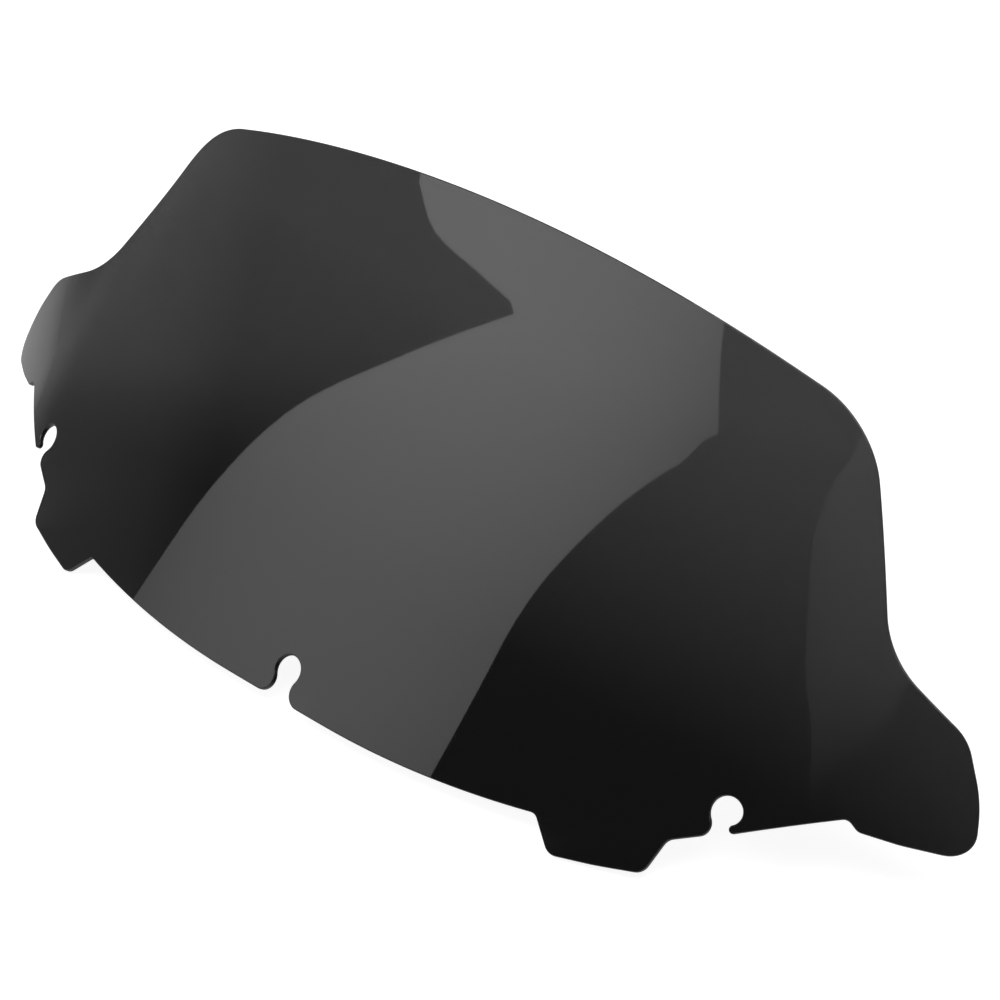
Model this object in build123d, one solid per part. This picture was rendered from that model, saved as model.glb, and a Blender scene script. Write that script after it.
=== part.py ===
from build123d import *
import math
import os

# Fairing windshield screen: one thermoformed sheet of smoked plastic.
# Millimetres. The origin is the centre of the centre keyhole, halfway through the
# sheet. +Z is up, +Y runs rearwards to the rider and +X to the rider's left.
# The sheet leans back, so its shape is written in three directions of its own:
# across (the same as +X), rise (up the sheet) and dip (down behind the sheet).

# Driving dimensions
sheet_thickness = 2.5
half_width = 300.0  # centre line to the tip of a wing
lean_angle = 52.6  # of the centre line from the horizontal, on the fairing
keyhole_radius = 7.0  # takes a 14 mm rubber well nut
throat_half_width = 4.2  # the open slot under each keyhole
side_keyhole_across = 215.5
side_keyhole_rise = 35.3

# Formed shape of the sheet, as the dip of its middle below the leaning plane
crown_dip = 38.7  # even curve across the screen, at the wing tips
cheek_dip = 31.5  # extra curve that grows towards the sides, at the wing tips
pivot_rise = 71.0  # height at which the temple bend and the wing flare pass through zero
temple_across = 208.5  # where the sides of the upper screen start to bend back
temple_blend = 8.7
temple_bend = 0.071  # dip per millimetre of rise
flare_across = 246.5  # where the wings start to flare forwards
flare_blend = 4.4
flare_rate = 0.0037  # dip per millimetre of rise and per millimetre across

# Outline of the right half of the blank, from the bottom of the centre line to the
# top, as (across, rise, corner radius). The throats of the keyholes are slots in it.
bottom_rise = -13.4
top_rise = 223.5
centre_throat = [
    (throat_half_width, -3.0, 0.0),
    (throat_half_width, bottom_rise, 6.5),
]
bottom_edge = [(85.0, bottom_rise, 535.0)]
fixing_tab = [
    (142.3, -1.5, 4.0),
    (155.0, -14.2, 6.5),
    (175.0, -9.0, 200.0),
    (195.0, -2.6, 6.5),
    (198.3, 14.3, 6.0),
]
side_throat = [
    (side_keyhole_across - throat_half_width, 22.8, 6.0),
    (side_keyhole_across - throat_half_width, side_keyhole_rise - 4.0, 0.0),
    (side_keyhole_across + throat_half_width, side_keyhole_rise - 4.0, 0.0),
    (side_keyhole_across + throat_half_width, 27.4, 1.2),
]
wing = [
    (257.0, 54.6, 3.0),
    (262.2, 51.6, 4.0),
    (277.0, 54.0, 60.0),
    (302.2, 60.6, 11.5),
    (296.4, 84.0, 55.0),
    (283.9, 104.3, 20.0),
]
upper_screen = [
    (243.6, 120.4, 45.0),
    (200.3, 204.3, 50.0),
    (85.0, top_rise, 1020.0),
]

# The formed faces are sampled on a grid that reaches past the outline all round
blank_half_width = 312.0
blank_low = -30.0
blank_high = 240.0
columns = 79
rows = 28
slope_step = 0.5  # each way, to measure the slope of the sheet
cutter_depth = 160.0  # each way from the leaning plane, deeper than the sheet dips
keyhole_cutter_length = 20.0

lean = math.radians(lean_angle)
up_the_sheet = Vector(0, math.cos(lean), math.sin(lean))
out_of_sheet = Vector(0, -math.sin(lean), math.cos(lean))
leaning_plane = Plane(origin=(0, 0, 0), x_dir=(1, 0, 0), z_dir=out_of_sheet)


def dip(across, rise):
    """How far the middle of the sheet lies below the leaning plane."""
    side = abs(across)
    share = side / half_width
    bend = temple_bend / (1 + math.exp(-(side - temple_across) / temple_blend))
    flare = flare_rate * flare_blend * math.log1p(math.exp((side - flare_across) / flare_blend))
    return crown_dip * share**2 + cheek_dip * share**4 + (rise - pivot_rise) * (bend - flare)


def middle_point(across, rise):
    """Point on the middle of the sheet."""
    return Vector(across, 0, 0) + up_the_sheet * rise - out_of_sheet * dip(across, rise)


def sheet_normal(across, rise):
    """Unit normal of the sheet, pointing out of its front."""
    along = middle_point(across + slope_step, rise) - middle_point(across - slope_step, rise)
    upwards = middle_point(across, rise + slope_step) - middle_point(across, rise - slope_step)
    return along.cross(upwards).normalized()


def formed_face(offset):
    """Smooth face at an offset from the middle of the sheet, wider than the screen."""
    grid = []
    for column in range(columns):
        across = blank_half_width * (2 * column / (columns - 1) - 1)
        line = []
        for row in range(rows):
            rise = blank_low + (blank_high - blank_low) * row / (rows - 1)
            line.append(middle_point(across, rise) + sheet_normal(across, rise) * offset)
        grid.append(line)
    return Face.make_surface_from_array_of_points(grid, tol=0.001)


def blank_outline():
    """Closed outline of the screen on the leaning plane."""
    right = centre_throat + bottom_edge + fixing_tab + side_throat + wing + upper_screen
    left = [(-across, rise, radius) for across, rise, radius in reversed(right)]
    corners = right + left
    points = [(across, rise) for across, rise, radius in corners]
    radii = [radius for across, rise, radius in corners]
    return FilletPolyline(*points, radius=radii, close=True)


def keyhole_cutter(across, rise):
    """Round cutter square to the sheet at a keyhole."""
    place = Plane(origin=middle_point(across, rise), z_dir=sheet_normal(across, rise))
    return place * Cylinder(keyhole_radius, keyhole_cutter_length)


def make_screen():
    """The whole screen: a formed sheet cut to its outline, with three keyholes."""
    front = formed_face(sheet_thickness / 2)
    back = formed_face(-sheet_thickness / 2)
    outline = leaning_plane * make_face(blank_outline())
    block = extrude(outline, amount=cutter_depth, dir=out_of_sheet, both=True)
    screen = split(block, bisect_by=front, keep=Keep.BOTTOM)
    screen = split(screen, bisect_by=back, keep=Keep.TOP)
    for side in (-1, 0, 1):
        screen = screen - keyhole_cutter(side * side_keyhole_across, abs(side) * side_keyhole_rise)
    return screen


os.makedirs("parts", exist_ok=True)
export_step(make_screen(), "parts/screen.step")
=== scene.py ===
import math
import bpy
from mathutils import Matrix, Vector
from mathutils.geometry import delaunay_2d_cdt
from mathutils.kdtree import KDTree


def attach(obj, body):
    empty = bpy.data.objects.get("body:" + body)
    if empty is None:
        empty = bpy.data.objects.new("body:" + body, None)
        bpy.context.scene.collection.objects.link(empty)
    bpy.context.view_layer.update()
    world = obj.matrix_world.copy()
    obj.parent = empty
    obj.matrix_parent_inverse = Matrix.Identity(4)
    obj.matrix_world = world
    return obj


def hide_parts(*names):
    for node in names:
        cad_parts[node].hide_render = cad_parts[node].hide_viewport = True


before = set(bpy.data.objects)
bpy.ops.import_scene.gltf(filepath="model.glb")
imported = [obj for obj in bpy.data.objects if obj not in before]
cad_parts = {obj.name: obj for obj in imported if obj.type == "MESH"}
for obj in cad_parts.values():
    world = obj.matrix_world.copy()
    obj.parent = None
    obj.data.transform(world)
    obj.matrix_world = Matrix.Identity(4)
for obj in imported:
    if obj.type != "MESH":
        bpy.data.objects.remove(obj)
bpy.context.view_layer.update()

mm = 0.001


class Wire:
    # one socket of a node tree, so that sums can be written as sums
    def __init__(self, tree, socket=None):
        self.tree = tree
        self.socket = socket

    def add(self, kind, settings=None, sockets=None, out=0):
        node = self.tree.nodes.new(kind)
        for name, value in (settings or {}).items():
            setattr(node, name, value)
        for name, value in (sockets or {}).items():
            if isinstance(value, Wire):
                self.tree.links.new(value.socket, node.inputs[name])
            else:
                node.inputs[name].default_value = value
        return Wire(self.tree, node.outputs[out]) if node.outputs else node

    def maths(self, operation, *values):
        return self.add("ShaderNodeMath", {"operation": operation}, dict(enumerate(values)))

    def vectors(self, operation, *values, out=0):
        return self.add("ShaderNodeVectorMath", {"operation": operation}, dict(enumerate(values)), out)

    def combine(self, x, y, z):
        return self.add("ShaderNodeCombineXYZ", None, {"X": x, "Y": y, "Z": z})

    def ramp(self, value, stops):
        # straight lines between (place, shade) stops
        shade = self.add("ShaderNodeValToRGB", None, {"Fac": value})
        elements = shade.socket.node.color_ramp.elements
        while len(elements) < len(stops):
            elements.new(0.5)
        for stop, (place, level) in zip(elements, stops):
            stop.position = place
            stop.color = (level, level, level, 1.0)
        return self.add("ShaderNodeRGBToBW", None, {"Color": shade})

    def objectPlace(self):
        return self.add("ShaderNodeTexCoord", out=3)  # its Object socket

    def graded(self, stops):
        # a shade that changes with height in metres
        low, high = stops[0][0], stops[-1][0]
        height = self.objectPlace().part("Z")
        return self.ramp((height - low) / (high - low), [((z - low) / (high - low), v) for z, v in stops])

    def part(self, letter):
        return self.add("ShaderNodeSeparateXYZ", None, {"Vector": self}, "XYZ".index(letter))

    def __add__(self, other):
        return self.maths("ADD", self, other)

    def __radd__(self, other):
        return self.maths("ADD", other, self)

    def __sub__(self, other):
        return self.maths("SUBTRACT", self, other)

    def __rsub__(self, other):
        return self.maths("SUBTRACT", other, self)

    def __mul__(self, other):
        return self.maths("MULTIPLY", self, other)

    def __rmul__(self, other):
        return self.maths("MULTIPLY", other, self)

    def __truediv__(self, other):
        return self.maths("DIVIDE", self, other)

    def __rtruediv__(self, other):
        return self.maths("DIVIDE", other, self)

    def __pow__(self, other):
        return self.maths("POWER", self, other)


def emptyMaterial(name):
    material = bpy.data.materials.new(name)
    material.use_nodes = True
    material.node_tree.nodes.clear()
    return material, Wire(material.node_tree)


# the blank is the sheet before it is formed, cut to its outline:
# across, rise and corner radius in mm, right half only, from the bottom to the top
blank = {
    "thickness": 2.5,
    "keyholeRadius": 7.0,
    "centreKeyhole": (0.0, 0.0),
    "centreLips": (6.4, 7.2),  # radii of the corners where a throat meets the edge
    "sideKeyhole": (215.5, 35.3),
    "sideLips": (5.6, 1.8),
    "hook": (5.5, 7.35),  # a side hole tightens to this radius, and how far off its hook's tip is
    "bottomMiddle": (0.0, -13.4),
    "bottom": [(85.0, -13.4, 535.0)],
    "tab": [(142.3, -1.5, 4.0), (155.0, -14.2, 6.5), (175.0, -9.0, 200.0),
            (195.0, -2.6, 6.5), (198.3, 14.3, 6.0)],
    "throatIn": (211.3, 22.8),
    "throatOut": (219.7, 27.4),
    "wing": [(257.0, 54.6, 3.0), (262.2, 51.6, 4.0), (277.0, 54.0, 60.0),
             (302.2, 60.6, 11.5), (296.4, 84.0, 55.0), (283.9, 104.3, 20.0)],
    "upper": [(243.6, 120.4, 45.0), (200.3, 204.3, 50.0), (85.0, 223.5, 1020.0)],
    "edgeRadius": 0.55,
    "edgeSteps": 4,
    "chord": 2.0,  # longest step along the outline
    "turn": math.radians(9),  # largest turn in one step
    "shortest": 0.02,  # outline points nearer than this are one point
    "level": 0.02,  # a slope under this counts as none
    "grid": 3.2,
    "gridGap": 1.9,  # grid points keep this far from the edge rings
    "merge": 1e-5,  # points this near would be joined by the triangulation
}

# how the oven and the mould shape it, in metres and radians. its dip is how far its
# middle lies below the plane that it leans in
form = {
    "Half Width": 0.300,
    "Crown Dip": 0.0387,
    "Cheek Dip": 0.0315,
    "Pivot Rise": 0.071,  # here the temple bend and the flare pass through zero
    "Temple Across": 0.2085,
    "Temple Blend": 0.0087,
    "Temple Bend": 0.071,  # dip per metre of rise
    "Flare Across": 0.2465,
    "Flare Blend": 0.0044,
    "Flare Rate": 3.7,  # dip per metre of rise and per metre across
    "Lean Angle": math.radians(52.6),
    "Thickness": blank["thickness"] * mm,
}


def slopeAt(across, rise):
    # slope of the formed sheet at a point in mm, across and up. the flare is left out,
    # because no keyhole reaches it
    side = abs(across)
    half = form["Half Width"] / mm
    crown, cheek, pivot = (form[name] / mm for name in ("Crown Dip", "Cheek Dip", "Pivot Rise"))
    temple = 1 / (1 + math.exp(-(side - form["Temple Across"] / mm) / (form["Temple Blend"] / mm)))
    share = side / half
    bendRate = form["Temple Bend"] * temple * (1 - temple) / (form["Temple Blend"] / mm)
    over = (2 * crown * share + 4 * cheek * share**3) / half + (rise - pivot) * bendRate
    return Vector((math.copysign(over, across), form["Temple Bend"] * temple))


def roundCorners(corners):
    # closed outline through tangent arcs: (x, y, radius) corners to points
    points = []
    for i, (x, y, radius) in enumerate(corners):
        here = Vector((x, y))
        if radius == 0:
            points.append(here)
            continue
        before = (Vector(corners[i - 1][:2]) - here).normalized()
        after = (Vector(corners[(i + 1) % len(corners)][:2]) - here).normalized()
        half = before.angle(after) / 2
        start = here + before * radius / math.tan(half)
        middle = here + (before + after).normalized() * radius / math.sin(half)
        sweep = math.pi - 2 * half
        steps = max(2, math.ceil(sweep / blank["turn"]), math.ceil(sweep * radius / blank["chord"]))
        way = 1 if before.cross(after) < 0 else -1
        arm = start - middle
        for k in range(steps + 1):
            turned = way * sweep * k / steps
            c, s = math.cos(turned), math.sin(turned)
            points.append(middle + Vector((arm.x * c - arm.y * s, arm.x * s + arm.y * c)))
    return points


def lipArc(distance, line, lip, leaving):
    # middle of an arc of radius lip that ends on a line, at a distance from the hole's
    # middle, which is at 0, 0
    start, end = line
    way = (end - start).normalized()
    side = Vector((-way.y, way.x))  # towards the sheet
    base = start + side * lip
    along = -base.dot(way)
    reach = math.sqrt(distance**2 - (base + way * along).length_squared)
    return base + way * (along + (reach if leaving else -reach)), -side


def hookArc(hole, hook, tip, lip):
    # middle of the arc that leads from the round hole to the rounded tip of a hook
    distance, way = tip.length, tip.normalized()
    near, far = hole - hook, hook + lip
    along = (near**2 - far**2 + distance**2) / (2 * distance)
    return way * along + Vector((-way.y, way.x)) * math.sqrt(near**2 - along**2)


def arcPoints(middle, radius, first, last, turnLeft):
    # points on an arc between two directions from its middle
    angle = math.atan2(first.y, first.x)
    sweep = math.atan2(last.y, last.x) - angle
    while turnLeft and sweep < 0:
        sweep += 2 * math.pi
    while not turnLeft and sweep > 0:
        sweep -= 2 * math.pi
    steps = max(2, math.ceil(abs(sweep) / blank["turn"]))
    turns = [angle + sweep * k / steps for k in range(steps + 1)]
    return [middle + Vector((math.cos(t), math.sin(t))) * radius for t in turns]


def keyholeLoop(place, lineIn, lipIn, lineOut, lipOut, hook=None):
    # a round hole with its open throat, from one edge line to the next.
    # the hole is round on the formed sheet, so it is narrower on the flat plan
    centre = Vector(place)
    slope = slopeAt(*place)
    way = slope.normalized() if slope.length > blank["level"] else Vector((1, 0))
    narrow = 1 / math.sqrt(1 + slope.length_squared)

    def widened(point):
        arm = Vector(point) - centre
        return arm + way * way.dot(arm) * (1 / narrow - 1)

    hole = blank["keyholeRadius"]
    zero = Vector((0, 0))
    middleIn, footIn = lipArc(hole + lipIn, [widened(p) for p in lineIn], lipIn, False)
    tight, tip = hook or (hole, hole + lipOut)
    middleOut, footOut = lipArc(tip, [widened(p) for p in lineOut], lipOut, True)
    bend = hookArc(hole, tight, middleOut, lipOut) if hook else zero
    loop = arcPoints(middleIn, lipIn, footIn, -middleIn, True)[:-1]
    loop += arcPoints(zero, hole, middleIn, bend if hook else middleOut, False)
    if hook:
        loop += arcPoints(bend, tight, bend, middleOut - bend, False)[1:]
    loop += arcPoints(middleOut, lipOut, bend - middleOut, footOut, True)[1:]
    return [centre + p - way * way.dot(p) * (1 - narrow) for p in loop]


def fixed(points):
    # corners that stay as they are
    return [(p.x, p.y, 0) for p in points]


def screenOutline():
    lineIn = (blank["tab"][-1][:2], blank["throatIn"])
    lineOut = (blank["throatOut"], blank["wing"][0][:2])
    lipIn, lipOut = blank["sideLips"]
    sideLoop = keyholeLoop(blank["sideKeyhole"], lineIn, lipIn, lineOut, lipOut, blank["hook"])
    right = blank["bottom"] + blank["tab"] + fixed(sideLoop) + blank["wing"] + blank["upper"]
    left = [(-x, y, r) for x, y, r in reversed(right)]
    low = Vector(blank["bottomMiddle"])
    run = Vector((50, 0))  # any length gives the same line
    lineIn, lineOut = (low - run, low), (low, low + run)
    lipIn, lipOut = blank["centreLips"]
    centreLoop = keyholeLoop(blank["centreKeyhole"], lineIn, lipIn, lineOut, lipOut)
    rough = roundCorners(fixed(centreLoop) + right + left)
    points = []
    for here, there in zip(rough, rough[1:] + rough[:1]):  # no step longer than the chord
        gap = (there - here).length
        if gap < blank["shortest"]:
            continue
        steps = math.ceil(gap / blank["chord"])
        points += [here.lerp(there, k / steps) for k in range(steps)]
    return points


def outwardOf(points):
    # ways square to the outline, away from the sheet
    ways = []
    for i, here in enumerate(points):
        before = (here - points[i - 1]).normalized()
        after = (points[(i + 1) % len(points)] - here).normalized()
        along = (before + after).normalized()
        ways.append(Vector((along.y, -along.x)))
    return ways


def gridInside(ring):
    # rows of points inside the ring, clear of it
    step, gap = blank["grid"], blank["gridGap"]
    tree = KDTree(len(ring))
    for i, p in enumerate(ring):
        tree.insert((p.x, p.y, 0), i)
    tree.balance()
    found = []
    low = min(p.y for p in ring)
    rows = math.ceil((max(p.y for p in ring) - low) / step)
    for row in range(rows):
        y = low + (row + 0.5) * step
        hits = []
        for a, b in zip(ring, ring[1:] + ring[:1]):
            if (a.y > y) != (b.y > y):
                hits.append(a.x + (y - a.y) * (b.x - a.x) / (b.y - a.y))
        hits.sort()
        for start, end in zip(hits[::2], hits[1::2]):
            for k in range(math.ceil(start / step), math.floor(end / step) + 1):
                x = k * step
                if tree.find((x, y, 0))[2] > gap:
                    found.append(Vector((x, y)))
    return found


def makeBlank():
    outline = screenOutline()
    ways = outwardOf(outline)
    count = len(outline)
    thickness, radius, steps = blank["thickness"], blank["edgeRadius"], blank["edgeSteps"]
    verts, normals, rims, faces = [], [], [], []
    # rings run round the edge, from the front face over the edge to the back face
    for side, depth in ((1, 0.0), (-1, -thickness)):
        for k in range(steps + 1):
            angle = math.pi / 2 * (k / steps if side < 0 else 1 - k / steps)
            inset = radius * (1 - math.cos(angle))
            level = depth - side * radius * (1 - math.sin(angle))
            for p, way in zip(outline, ways):
                q = p - way * inset
                verts.append((q.x, q.y, level))
                normals.append((way.x * math.cos(angle), way.y * math.cos(angle), side * math.sin(angle)))
                rims.append(math.cos(angle))
    rings = 2 * (steps + 1)
    for ring in range(rings - 1):
        for i in range(count):
            j = (i + 1) % count
            a, b = ring * count, (ring + 1) * count
            faces.append((a + i, b + i, b + j, a + j))
    # triangles fill both faces inside the first and last ring
    inner = [Vector(v[:2]) for v in verts[:count]]
    grid = gridInside(inner)
    flat = inner + grid
    loop = [list(range(count))]
    points, _, tris, origins, _, _ = delaunay_2d_cdt(flat, [], loop, 1, blank["merge"])
    if len(points) != len(flat):
        raise SystemExit("the blank's outline crosses itself")
    place = [o[0] for o in origins]
    frontOf, backOf = {}, {}
    last = (rings - 1) * count
    for i, p in enumerate(flat):
        if i < count:
            frontOf[i], backOf[i] = i, last + i
        else:
            for owner, side, depth in ((frontOf, 1, 0.0), (backOf, -1, -thickness)):
                owner[i] = len(verts)
                verts.append((p.x, p.y, depth))
                normals.append((0, 0, side))
                rims.append(0.0)
    for tri in tris:
        a, b, c = (place[v] for v in tri)
        if (flat[b] - flat[a]).cross(flat[c] - flat[a]) < 0:
            b, c = c, b
        faces.append((frontOf[a], frontOf[b], frontOf[c]))
        faces.append((backOf[a], backOf[c], backOf[b]))
    mesh = bpy.data.meshes.new("blank")
    mesh.from_pydata([Vector(v) * mm for v in verts], [], faces)
    mesh.attributes.new("edgeNormal", "FLOAT_VECTOR", "POINT").data.foreach_set(
        "vector", [n for normal in normals for n in normal])
    mesh.attributes.new("rim", "FLOAT", "POINT").data.foreach_set("value", rims)
    mesh.attributes.new("sheet", "FLOAT_VECTOR", "POINT").data.foreach_set(
        "vector", [c * mm for v in verts for c in v])
    mesh.update()
    return mesh


print("cutting the blank")
blankMesh = makeBlank()
print("blank:", len(blankMesh.vertices), "points,", len(blankMesh.polygons), "faces")


smoke = {
    # share of light that gets through the sheet, graded by height in metres: less gets through towards the
    # bottom
    "tint": [(-0.020, 0.018), (0.020, 0.0185), (0.040, 0.023), (0.065, 0.030), (0.095, 0.0355),
             (0.125, 0.042), (0.140, 0.0495), (0.180, 0.055)],
    "tintSpread": 0.12,  # how far the tint wanders, as a share of itself
    "edgeTint": 0.012,
    "edgeShare": 0.8,  # how far the rim turns to the edge's tint
    "ior": 1.5,
    "gloss": 0.012,
    "edgeRoughness": 0.32,
    "hazeSize": 9.0,  # patches per metre
    "hazeDetail": 4.0,
    "hazeGrain": 0.6,
    "haze": 0.012,  # roughness that the patches add
    "waveSize": 7.0,  # ripples per metre left by forming
    "waveDetail": 1.5,
    "waveHeight": 0.00006,
    "dustSize": 900.0,  # specks per metre
    "dustDetail": 1.0,
    "dustLevels": [(0.0, 0.0), (0.72, 0.0), (0.8, 1.0)],  # only the peaks of the noise are specks
    "dust": 0.1,  # roughness that a speck adds
    "dustHeight": 0.000002,
}


def smokedSheet():
    material, start = emptyMaterial("smokedSheet")
    place = start.add("ShaderNodeAttribute", {"attribute_name": "sheet"}, out=1)  # as a vector
    rim = start.add("ShaderNodeAttribute", {"attribute_name": "rim"}, out=2)  # as a number

    def noise(kind, grain=0.5):
        return start.add("ShaderNodeTexNoise", None, {
            "Vector": place, "Scale": smoke[kind + "Size"], "Detail": smoke[kind + "Detail"],
            "Roughness": grain})

    haze = noise("haze", smoke["hazeGrain"])
    specks = start.ramp(noise("dust"), smoke["dustLevels"])
    wave = noise("wave")
    roughness = (smoke["gloss"] + haze * smoke["haze"] + specks * smoke["dust"]
                 + rim * (smoke["edgeRoughness"] - smoke["gloss"]))
    height = wave * smoke["waveHeight"] + specks * smoke["dustHeight"]
    bump = start.add("ShaderNodeBump", None, {"Height": height, "Distance": 1.0, "Strength": 1.0})
    spread = smoke["tintSpread"]
    tint = start.graded(smoke["tint"]) * (1 - spread / 2 + haze * spread)
    shade = tint + rim * smoke["edgeShare"] * (smoke["edgeTint"] - tint)
    shader = start.add("ShaderNodeBsdfPrincipled", None, {
        "Base Color": shade, "Roughness": roughness, "Normal": bump,
        "IOR": smoke["ior"], "Transmission Weight": 1.0})
    start.add("ShaderNodeOutputMaterial", None, {"Surface": shader})
    return material


# the oven and the mould: a geometry node tree bends the flat blank
def thermoform():
    tree = bpy.data.node_groups.new("thermoform", "GeometryNodeTree")
    tree.interface.new_socket("Blank", in_out="INPUT", socket_type="NodeSocketGeometry")
    for name in form:
        tree.interface.new_socket(name, in_out="INPUT", socket_type="NodeSocketFloat")
    tree.interface.new_socket("Sheet Material", in_out="INPUT", socket_type="NodeSocketMaterial")
    tree.interface.new_socket("Screen", in_out="OUTPUT", socket_type="NodeSocketGeometry")
    source = tree.nodes.new("NodeGroupInput")
    sink = tree.nodes.new("NodeGroupOutput")
    get = {socket.name: Wire(tree, socket) for socket in source.outputs if socket.name}
    start = Wire(tree)
    place = start.add("GeometryNodeInputPosition")
    across, rise, depth = (place.part(letter) for letter in "XYZ")
    side = across.maths("ABSOLUTE", across)
    share = side / get["Half Width"]
    above = rise - get["Pivot Rise"]

    temple = 1 / (1 + side.maths("EXPONENT", (get["Temple Across"] - side) / get["Temple Blend"]))
    flareWay = (side - get["Flare Across"]) / get["Flare Blend"]
    flare = 1 / (1 + side.maths("EXPONENT", 0 - flareWay))
    flareRun = get["Flare Blend"] * side.maths("LOGARITHM", 1 + side.maths("EXPONENT", flareWay), math.e)

    bend = get["Temple Bend"] * temple - get["Flare Rate"] * flareRun
    dip = get["Crown Dip"] * share**2 + get["Cheek Dip"] * share**4 + above * bend
    curve = (2 * get["Crown Dip"] * share + 4 * get["Cheek Dip"] * share**3) / get["Half Width"]
    bendRate = get["Temple Bend"] * temple * (1 - temple) / get["Temple Blend"] - get["Flare Rate"] * flare
    slopeAcross = side.maths("SIGN", across) * (curve + above * bendRate)

    steep = start.combine(slopeAcross, bend, 1.0)
    stretch = start.vectors("LENGTH", steep, out=1)
    normal = start.vectors("NORMALIZE", steep)
    front = start.combine(across, rise, get["Thickness"] / 2 * stretch - dip)
    sunk = start.vectors("SCALE", normal)
    tree.links.new(depth.socket, sunk.socket.node.inputs["Scale"])
    formed = start.vectors("ADD", front, sunk)

    # the edge stays square to the sheet, so its normals turn with it
    flat = start.add("GeometryNodeInputNamedAttribute", {"data_type": "FLOAT_VECTOR"},
                     {"Name": "edgeNormal"})
    outX, outY, facing = (flat.part(letter) for letter in "XYZ")
    along = start.combine(0 - outY, outX, slopeAcross * outY - bend * outX)
    outward = start.vectors("NORMALIZE", start.vectors("CROSS_PRODUCT", along, normal))
    lean = (outX * outX + outY * outY) ** 0.5
    turned = []
    for way, size in ((outward, lean), (normal, facing)):
        scaled = start.vectors("SCALE", way)
        tree.links.new(size.socket, scaled.socket.node.inputs["Scale"])
        turned.append(scaled)
    edgeNormal = start.vectors("NORMALIZE", start.vectors("ADD", *turned))

    def leaning(vector):
        return start.add("ShaderNodeVectorRotate", {"rotation_type": "X_AXIS"},
                         {"Vector": vector, "Angle": get["Lean Angle"]})

    moved = start.add("GeometryNodeSetPosition", None,
                      {"Geometry": get["Blank"], "Position": leaning(formed)})
    smooth = start.add("GeometryNodeSetShadeSmooth", None, {"Geometry": moved})
    shaded = start.add("GeometryNodeSetMeshNormal", {"mode": "FREE", "domain": "POINT"},
                       {"Mesh": smooth, "Custom Normal": leaning(edgeNormal)})
    real = start.add("GeometryNodeRealizeInstances", None, {"Geometry": shaded})
    last = start.add("GeometryNodeSetMaterial", None, {"Geometry": real, "Material": get["Sheet Material"]})
    tree.links.new(last.socket, sink.inputs["Screen"])
    return tree


def plainMesh(name, mesh, tree, values):
    worked = bpy.data.objects.new(name + "Worked", mesh)
    bpy.context.scene.collection.objects.link(worked)
    modifier = worked.modifiers.new("thermoform", "NODES")
    modifier.node_group = tree
    for item in tree.interface.items_tree:
        if item.in_out == "INPUT" and item.name in values:
            modifier[item.identifier] = values[item.name]
    bpy.context.view_layer.update()
    graph = bpy.context.evaluated_depsgraph_get()
    done = bpy.data.meshes.new_from_object(worked.evaluated_get(graph))
    bpy.data.objects.remove(worked)
    done.name = name
    piece = bpy.data.objects.new(name, done)
    bpy.context.scene.collection.objects.link(piece)
    return piece


print("forming the screen")
sheetMaterial = smokedSheet()
screen = plainMesh("windshieldScreen", blankMesh, thermoform(),
                   {**form, "Sheet Material": sheetMaterial})
print("screen:", len(screen.data.vertices), "points,", len(screen.data.polygons), "faces")
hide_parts("screen")
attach(screen, "root")


studio = {
    "floorLevel": -0.0205,
    "floorSize": 14.0,
    "floorShade": 0.86,
    "floorGlow": 1.52,  # the pale floor is also lit for the camera, which softens shadows
    "floorGlowShare": 0.6,
    "backShade": 1.0,
    "roomShade": 0.13,
    "overheadSize": 2.6,
    "overheadPlace": (0.5, -0.6, 2.6),
    "overheadPower": 85.0,
}

# soft panel that the screen mirrors as its light band: it faces the centre keyhole, and
# its outline and hot spot are across and up in mm, seen from there
softPanel = {
    "way": (-0.60178, -0.65193, 0.46136),
    "distance": 1.4,
    "strength": 1.95,
    "hotSpot": (-50, 200),
    "fade": 1.18,  # its glow falls by this times the square of the metres from the hot spot
    "least": 0.1,  # and no lower than this share
    "outline": [
        [(-395, -400), (-385, -280), (-365, -170), (-305, -50), (-195, 75), (-105, 170), (-25, 250)],
        [(-45, 250), (-140, 220), (-255, 185), (-345, 180)],
        [(-375, 190), (-410, 240), (-455, 300), (-300, 700)],
        [(210, 700), (290, 575), (365, 540), (465, 515), (580, 505)],
        [(550, 480), (525, 440), (490, 405), (425, 325), (375, 230), (365, 165), (380, 100), (400, 5),
         (410, -60), (300, -500)]],
}

# dim card on the other side, which the right temple mirrors
dimCard = {
    "way": (0.35995, -0.6999, 0.61691),
    "distance": 1.4,
    "strength": 0.48,
    "hotSpot": (60, 300),
    "fade": 6.0,
    "least": 0.27,  # as bright as the room
    "outline": [[(240, -95), (110, 0), (50, 50), (0, 80), (-105, 120), (-100, 160), (0, 175), (40, 260)],
                [(330, 260), (340, 60), (300, -95)]],
}

# low wall to the left, brightest along its foot
lowWall = {
    "x": -1.7,
    "y": (-1.6, 1.0),
    "glow": [(-0.02, 0.5), (0.04, 0.42), (0.09, 0.34), (0.14, 0.28), (0.35, 0.30), (0.50, 0.28),
             (0.62, 0.20), (0.72, 0.13)],
}


def stagePiece(name, corners, material, seen=False):
    # cards are out of the camera's sight, and only mirrored. the floor is seen
    mesh = bpy.data.meshes.new(name)
    mesh.from_pydata(corners, [], [tuple(range(len(corners)))])
    mesh.materials.append(material)
    piece = bpy.data.objects.new(name, mesh)
    piece.visible_camera = seen
    piece.visible_transmission = seen
    bpy.context.scene.collection.objects.link(piece)


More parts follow.
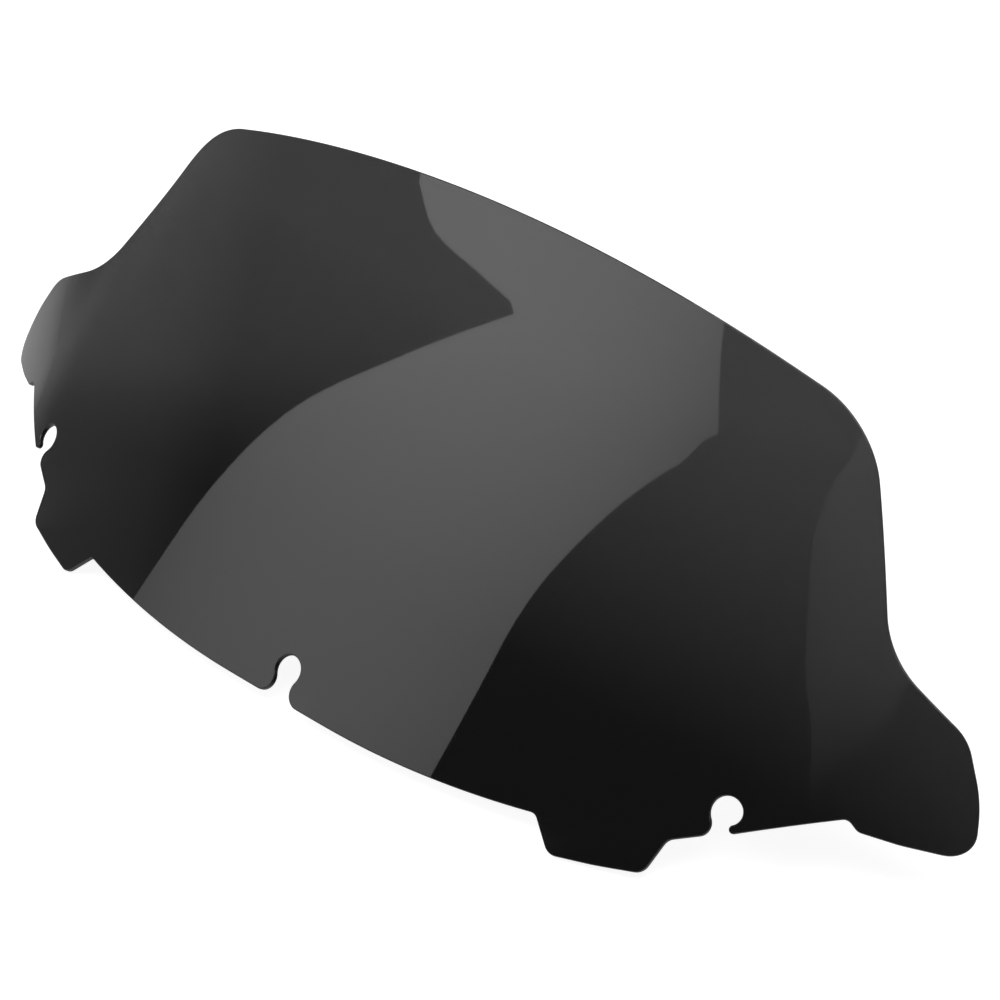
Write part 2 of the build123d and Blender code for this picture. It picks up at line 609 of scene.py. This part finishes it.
def makeFloor():
    material, start = emptyMaterial("paleFloor")
    shade = studio["floorShade"]
    glow = studio["floorGlow"]
    matt = start.add("ShaderNodeBsdfDiffuse", None, {"Color": (shade, shade, shade, 1)})
    bright = start.add("ShaderNodeEmission", None, {"Color": (1, 1, 1, 1), "Strength": glow})
    direct = start.add("ShaderNodeLightPath", out=0)  # 1 for what the camera sees itself
    mixed = start.add("ShaderNodeMixShader", None,
                      {0: direct * studio["floorGlowShare"], 1: matt, 2: bright})
    start.add("ShaderNodeOutputMaterial", None, {"Surface": mixed})
    half = studio["floorSize"] / 2
    z = studio["floorLevel"]
    stagePiece("floor", [(-half, -half, z), (half, -half, z), (half, half, z), (-half, half, z)],
               material, True)


def smoothed(strands):
    # each strand of corners is drawn as one smooth line through them
    points = []
    for strand in strands:
        for i, here in enumerate(strand):
            points.append(Vector(here))
            if i + 1 == len(strand):
                continue
            a, b = Vector(strand[max(i - 1, 0)]), Vector(here)
            c, d = Vector(strand[i + 1]), Vector(strand[min(i + 2, len(strand) - 1)])
            for t in (0.25, 0.5, 0.75):
                points.append(((c - a) * t + (2 * a - 5 * b + 4 * c - d) * t**2
                               + (3 * b - a - 3 * c + d) * t**3) / 2 + b)
    return points


def makePanel(name, settings):
    way = Vector(settings["way"]).normalized()
    across = Vector((0, 0, 1)).cross(way).normalized()
    up = way.cross(across)

    def corner(x, y):
        return way * settings["distance"] + across * (x * mm) + up * (y * mm)

    material, start = emptyMaterial(name)
    place = start.objectPlace()
    away = start.vectors("DISTANCE", place, tuple(corner(*settings["hotSpot"])), out=1)
    shade = start.maths("MAXIMUM", settings["least"], 1 - away * away * settings["fade"])
    glow = start.add("ShaderNodeEmission", None, {"Color": shade, "Strength": settings["strength"]})
    start.add("ShaderNodeOutputMaterial", None, {"Surface": glow})
    stagePiece(name, [corner(x, y) for x, y in smoothed(settings["outline"])], material)


def makeLowWall():
    material, start = emptyMaterial("lowWall")
    glow = start.add("ShaderNodeEmission", None, {"Color": start.graded(lowWall["glow"]), "Strength": 1.0})
    start.add("ShaderNodeOutputMaterial", None, {"Surface": glow})
    x = lowWall["x"]
    front, rear = lowWall["y"]
    foot, top = lowWall["glow"][0][0], lowWall["glow"][-1][0]
    stagePiece("lowWall", [(x, front, foot), (x, rear, foot), (x, rear, top), (x, front, top)], material)


def makeOverhead():
    data = bpy.data.lights.new("overhead", "AREA")
    data.shape = "SQUARE"
    data.size = studio["overheadSize"]
    data.energy = studio["overheadPower"]
    light = bpy.data.objects.new("overhead", data)
    light.location = studio["overheadPlace"]
    bpy.context.scene.collection.objects.link(light)


def makeRoom():
    world = bpy.data.worlds.new("room")
    world.use_nodes = True
    bpy.context.scene.world = world
    tree = world.node_tree
    tree.nodes.clear()
    start = Wire(tree)
    direct = start.add("ShaderNodeLightPath", out=0)  # 1 for what the camera sees itself
    strength = studio["roomShade"] + direct * (studio["backShade"] - studio["roomShade"])
    shade = start.add("ShaderNodeBackground", None, {"Color": (1, 1, 1, 1), "Strength": strength})
    start.add("ShaderNodeOutputWorld", None, {"Surface": shade})


print("setting up the studio")
makeFloor()
makePanel("softPanel", softPanel)
makePanel("dimCard", dimCard)
makeLowWall()
makeOverhead()
makeRoom()
bpy.context.scene.view_settings.view_transform = "Standard"

camera = {
    "place": (0.919349, -0.812603, 0.831638),
    "back": (0.59589, -0.61222, 0.51971),  # from what it looks at towards the camera
    "lens": 121.853,  # mm, as the sensor's width
    "sensor": 36.0,
    "reach": 100.0,
}
cameraData = bpy.data.cameras.new("camera")
cameraData.lens = camera["lens"]
cameraData.sensor_width = camera["sensor"]
cameraData.clip_end = camera["reach"]
cameraObject = bpy.data.objects.new("camera", cameraData)
cameraObject.location = camera["place"]
cameraObject.rotation_euler = Vector(camera["back"]).to_track_quat("Z", "Y").to_euler()
bpy.context.scene.collection.objects.link(cameraObject)
bpy.context.scene.camera = cameraObject
